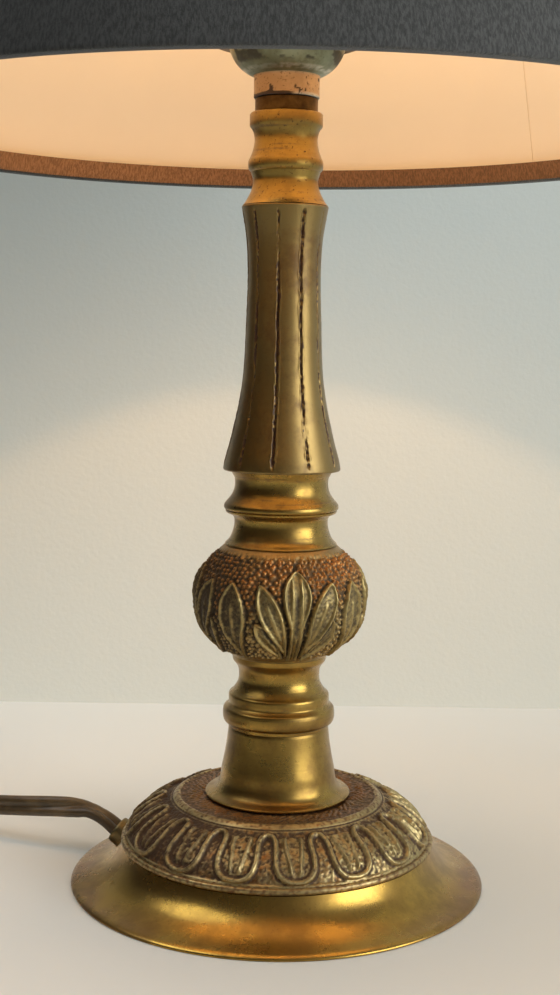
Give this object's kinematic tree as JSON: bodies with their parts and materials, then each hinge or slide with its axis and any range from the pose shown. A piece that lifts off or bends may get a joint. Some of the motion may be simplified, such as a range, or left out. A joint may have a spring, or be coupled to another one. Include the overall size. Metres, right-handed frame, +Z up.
{
  "type": "table_lamp",
  "caption": "Table lamp with a cast and turned antique brass stem on a flared round foot, a conical charcoal fabric shade, a screw-cap bulb and a flat twin cord with an inline switch and plug",
  "frame": {"origin": "centre of the foot's underside, on the table", "axes": "+Z up along the stem; -Y towards the front, as in the picture; the cord leaves at the back left"},
  "size_m": [0.395, 0.3, 0.444],
  "materials": {
    "antique_brass": "satin antique brass, dark in the recesses",
    "cast_brass": "cast antique brass with a red-brown patina",
    "dark_patina": "dark brown patina",
    "worn_nickel": "worn plating over brass",
    "plain_steel": "plain",
    "ballast_iron": "rough casting",
    "green_felt": "felt",
    "porcelain": "glazed",
    "frosted_glass": "frosted inside",
    "charcoal_velvet": "short velvet pile",
    "cream_lining": "matte sheet, translucent",
    "white_wire": "white coated wire",
    "brown_cord": "translucent brown and gold flex",
    "dark_fittings": "moulded, satin"
  },
  "bodies": {
    "lamp": {"foot": "antique_brass", "tongue_ring": "cast_brass", "ballast": "ballast_iron", "felt_pad": "green_felt", "tie_rod": "plain_steel", "rod_washer": "plain_steel", "rod_nut": "plain_steel", "cord_bush": "antique_brass", "trumpet": "antique_brass", "lower_collars": "antique_brass", "knop": "cast_brass", "ring_neck": "antique_brass", "fluted_column": "antique_brass", "upper_neck": "antique_brass", "spigot": "dark_patina", "holder_cap": "worn_nickel", "holder_shell": "worn_nickel", "holder_insulator": "porcelain", "thread_shell": "antique_brass", "centre_contact": "antique_brass", "terminal_left": "antique_brass", "terminal_right": "antique_brass", "shade_ring": "dark_patina", "lock_ring": "dark_patina", "inner_flex": "brown_cord", "cord_coil": "brown_cord", "cord_tie": "dark_fittings", "cord_lead": "brown_cord", "cord_middle": "brown_cord", "cord_tail": "brown_cord", "switch_base": "dark_fittings", "switch_cover": "dark_fittings", "plug_body": "dark_fittings", "plug_pin_left": "plain_steel", "plug_pin_right": "plain_steel"},
    "shade": {"shade_cover": "charcoal_velvet", "shade_lining": "cream_lining", "shade_fitter": "white_wire", "shade_arm_1": "white_wire", "shade_arm_2": "white_wire", "shade_arm_3": "white_wire", "shade_top_wire": "white_wire", "shade_rim_wire": "white_wire"},
    "bulb": {"bulb_button": "antique_brass", "bulb_cap": "plain_steel", "bulb_glass": "frosted_glass"},
    "rocker": {"switch_rocker": "dark_fittings"}
  },
  "joints": [
    {"name": "shade_turn", "type": "hinge", "parent": "lamp", "child": "shade", "pos_m": [0, 0, 0.277], "axis": [0, 0, 1], "continuous": true},
    {"name": "bulb_unscrew", "type": "slide", "parent": "lamp", "child": "bulb", "axis": [0, 0, 1], "range_m": [0, 0.028]},
    {"name": "switch_rocker", "type": "hinge", "parent": "lamp", "child": "rocker", "pos_m": [-0.156, 0.0435, 0.0131], "axis": [0, 1, 0], "range_deg": [0, 16]}
  ]
}
